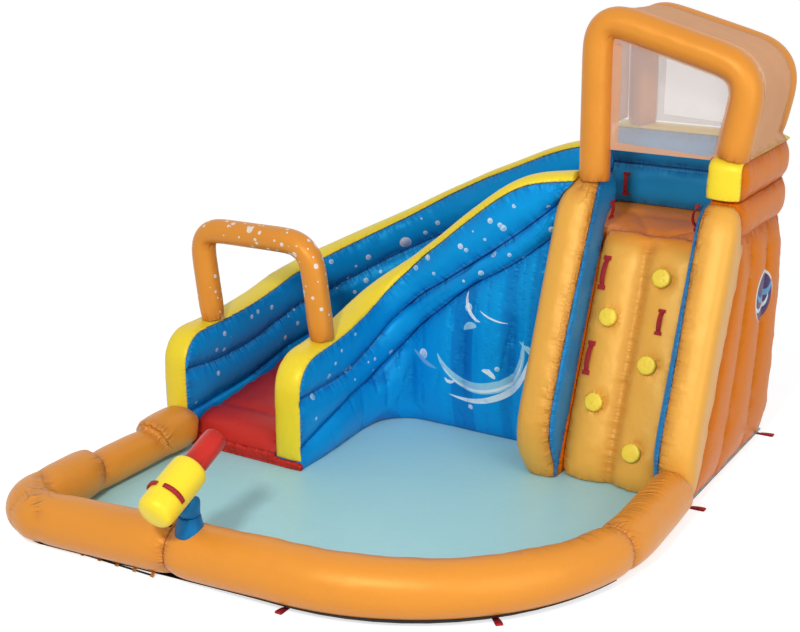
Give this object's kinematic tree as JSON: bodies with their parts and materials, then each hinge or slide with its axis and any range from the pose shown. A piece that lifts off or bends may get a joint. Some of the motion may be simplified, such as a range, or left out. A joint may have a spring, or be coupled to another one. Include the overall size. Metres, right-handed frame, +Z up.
{
  "type": "inflatable water park",
  "caption": "Inflatable play park: climbing wall up to a netted platform, curved slide under a sprinkler arch, and a round splash pool with a swivelling water cannon.",
  "frame": {"origin": "on the underside, in the middle of the footprint", "axes": "+Z up; +X along the foot of the climbing wall, from the slide towards the tower; +Y from the pool towards the tower"},
  "size_m": [3.263, 3.8643, 2.6438],
  "materials": {
    "orange": "coated cloth with a soft sheen",
    "deep_orange": "coated cloth with a soft sheen",
    "yellow": "coated cloth with a soft sheen",
    "blue": "coated cloth with a soft sheen",
    "light_blue": "smooth coated sheet",
    "red": "coated cloth with a soft sheen",
    "dark": "matt coated cloth",
    "net": "coarse open mesh",
    "cone_blue": "coated cloth with a soft sheen"
  },
  "bodies": {
    "park": {"air_inlet_sleeve": "deep_orange", "cannon_pedestal": "cone_blue", "canopy_net": "net", "climb_handle_1": "red", "climb_handle_2": "red", "climb_handle_3": "red", "climbing_hold_1": "yellow", "climbing_hold_2": "yellow", "climbing_hold_3": "yellow", "climbing_hold_4": "yellow", "climbing_hold_5": "yellow", "climbing_wall": "orange", "column_left": "orange", "column_lining_left": "blue", "column_lining_right": "blue", "column_right": "orange", "front_arch": "orange", "front_net": "net", "ground_sheet": "dark", "platform_floor": "orange", "platform_handle_left": "red", "platform_handle_right": "red", "pool_floor": "light_blue", "pool_wall_front": "orange", "pool_wall_left": "orange", "pool_wall_right": "orange", "rail_handle": "red", "rear_arch": "orange", "rear_net": "net", "rear_rail_band": "yellow", "rear_rail_lower": "blue", "rear_rail_upper": "blue", "side_rail_band": "yellow", "side_rail_lower": "deep_orange", "side_rail_upper": "deep_orange", "slide_bed": "red", "slide_exit_sill": "red", "slide_inner_band": "yellow", "slide_inner_curtain": "blue", "slide_inner_wall_lower": "blue", "slide_inner_wall_upper": "blue", "slide_outer_band": "yellow", "slide_outer_curtain": "blue", "slide_outer_wall_lower": "blue", "slide_outer_wall_upper": "blue", "sprinkler_arch": "orange", "tie_down_back_right": "red", "tie_down_front_left": "red", "tie_down_front_right": "red", "tie_down_right": "red", "tower_left_panel": "deep_orange", "tower_rear_panel": "deep_orange", "tower_right_panel": "deep_orange"},
    "swivel": {"cannon_swivel": "cone_blue"},
    "cannon": {"cannon_barrel": "red", "cannon_body": "yellow", "cannon_hose_stub": "dark", "cannon_strap_left": "red", "cannon_strap_right": "red"}
  },
  "joints": [
    {"name": "cannon_yaw", "type": "hinge", "parent": "park", "child": "swivel", "pos_m": [-0.262, -1.7187, 0.424], "axis": [0, 0, 1], "range_deg": [-40, 40]},
    {"name": "cannon_pitch", "type": "hinge", "parent": "swivel", "child": "cannon", "pos_m": [-0.262, -1.7187, 0.424], "axis": [1, 0, 0], "range_deg": [-15, 20]}
  ]
}
